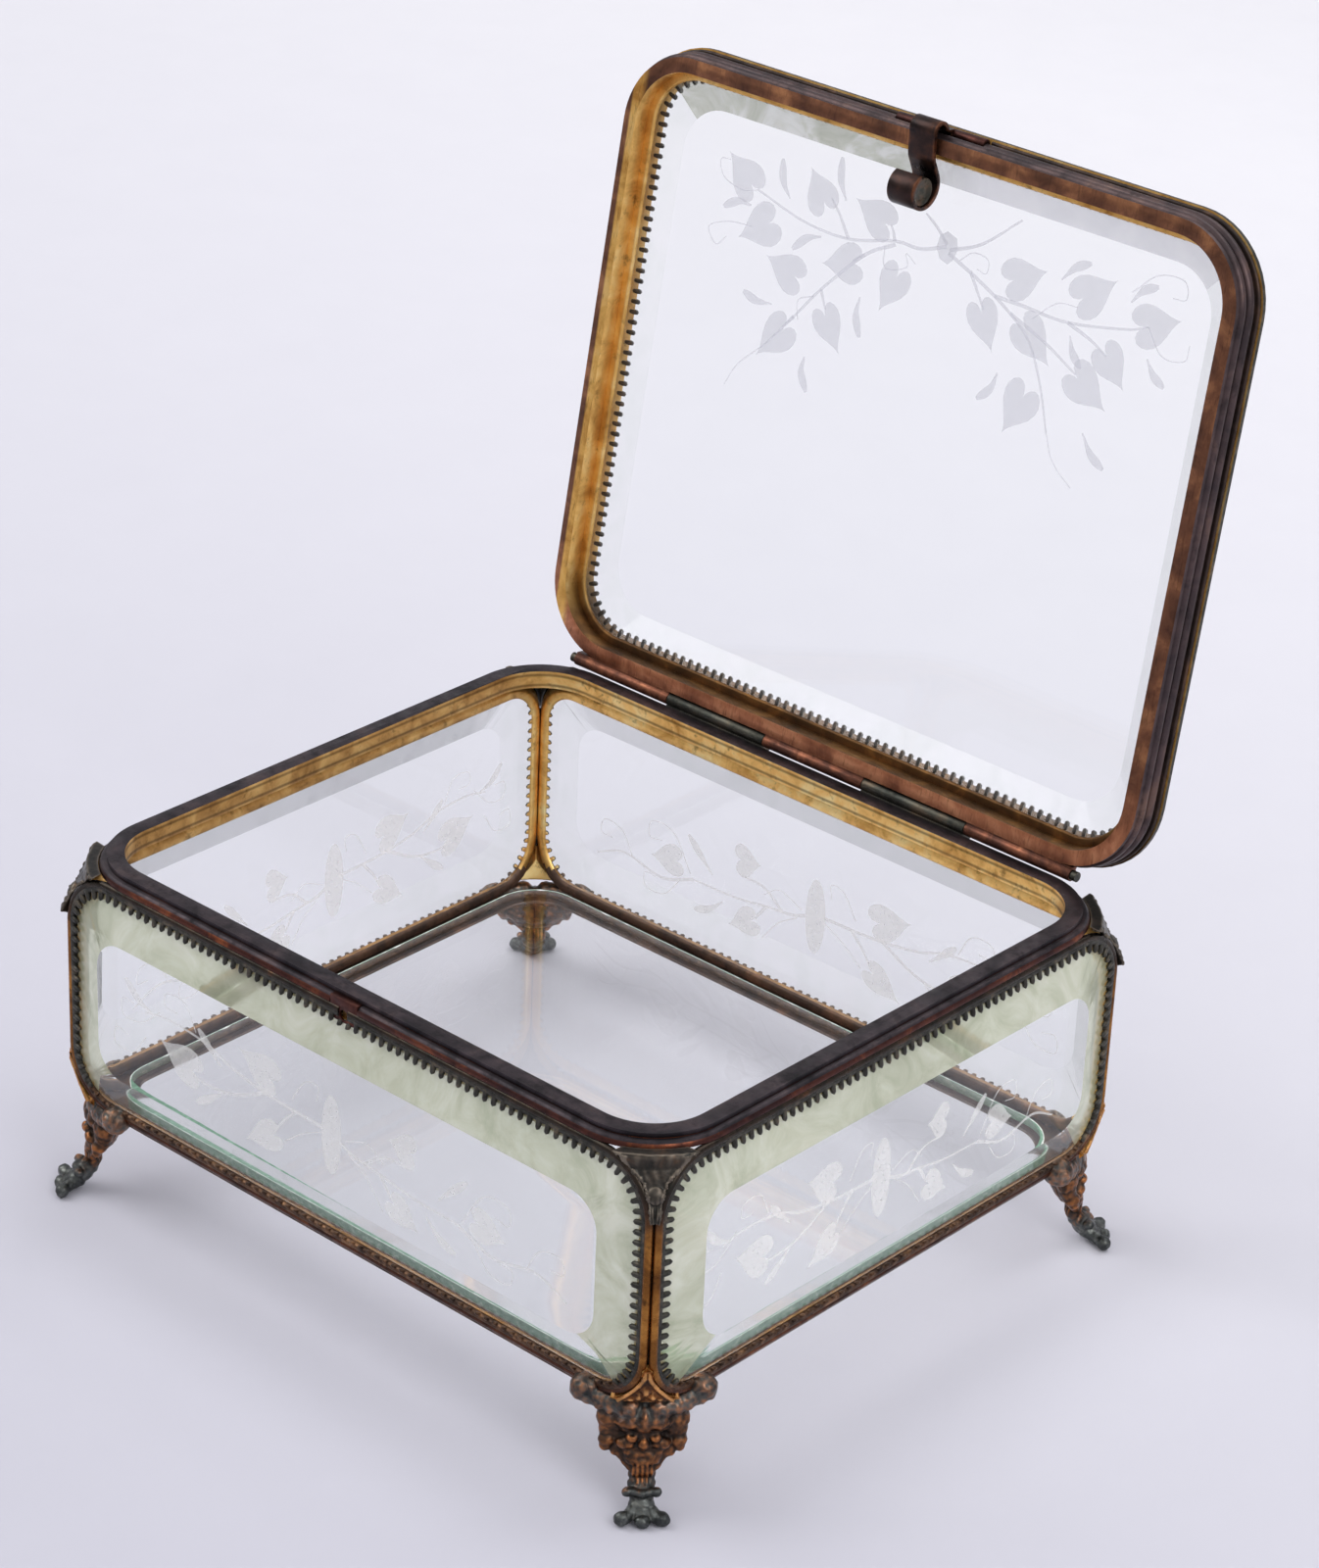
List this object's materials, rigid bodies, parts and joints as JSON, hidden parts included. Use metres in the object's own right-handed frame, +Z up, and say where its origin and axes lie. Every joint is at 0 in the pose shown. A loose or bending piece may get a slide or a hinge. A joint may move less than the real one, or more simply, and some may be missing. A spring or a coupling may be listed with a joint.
{
  "type": "glass casket box",
  "caption": "Bevelled glass casket in a metal frame on cast paw feet, with a hinged glass lid and a swinging hasp that drops over a keeper.",
  "frame": {"origin": "on the floor, under the middle of the overall size with the lid open as stored", "axes": "+X to the right of the box seen from the front, +Y from the front to the hinge, +Z up"},
  "size_m": [0.1626, 0.1638, 0.2053],
  "materials": {
    "glass": "clear bevelled glass with ground and engraved lines",
    "dark_rim": "dark patinated brass",
    "lid_copper": "worn copper-toned gilt brass",
    "worn_gilt": "worn gilding over dark brass",
    "bright_gilt": "bright gilding",
    "base_brown": "brown patina",
    "foot_bronze": "cast, dark patina with rubbed gilding",
    "hasp_brass": "rubbed brass",
    "hinge_brass": "dull brass"
  },
  "bodies": {
    "casket": {"body_rim": "dark_rim", "front_glass": "glass", "back_glass": "glass", "left_glass": "glass", "right_glass": "glass", "front_frame": "worn_gilt", "back_frame": "worn_gilt", "left_frame": "worn_gilt", "right_frame": "worn_gilt", "base_ring": "base_brown", "base_glass": "glass", "upper_leaf_front_right": "worn_gilt", "upper_leaf_front_left": "worn_gilt", "upper_leaf_back_right": "worn_gilt", "upper_leaf_back_left": "worn_gilt", "lower_leaf_front_right": "worn_gilt", "lower_leaf_front_left": "worn_gilt", "lower_leaf_back_right": "worn_gilt", "lower_leaf_back_left": "worn_gilt", "foot_front_right": "foot_bronze", "foot_front_left": "foot_bronze", "foot_back_right": "foot_bronze", "foot_back_left": "foot_bronze", "foot_rivets": "hinge_brass", "keeper_plate": "hasp_brass", "body_knuckle_left": "hinge_brass", "body_knuckle_right": "hinge_brass", "hinge_pin": "hinge_brass"},
    "lid": {"lid_frame": "lid_copper", "lid_lip": "bright_gilt", "lid_tooth_ring": "worn_gilt", "lid_glass": "glass", "lid_knuckle_left": "hinge_brass", "lid_knuckle_middle": "hinge_brass", "lid_knuckle_right": "hinge_brass", "hasp_knuckle_left": "hinge_brass", "hasp_knuckle_right": "hinge_brass"},
    "hasp": {"hasp_pin": "hinge_brass", "hasp_strap": "hasp_brass", "catch_pin": "hinge_brass"}
  },
  "joints": [
    {"name": "lid_hinge", "type": "hinge", "parent": "casket", "child": "lid", "pos_m": [0, 0.05365, 0.076], "axis": [1, 0, 0], "range_deg": [0, 99.6]},
    {"name": "hasp_swing", "type": "hinge", "parent": "lid", "child": "hasp", "pos_m": [0, 0.07878, 0.20177], "axis": [1, 0, 0], "range_deg": [-99.6, 0]}
  ],
  "couplings": [
    {"joint": "hasp_swing", "follows": "lid_hinge", "ratio": -1}
  ]
}
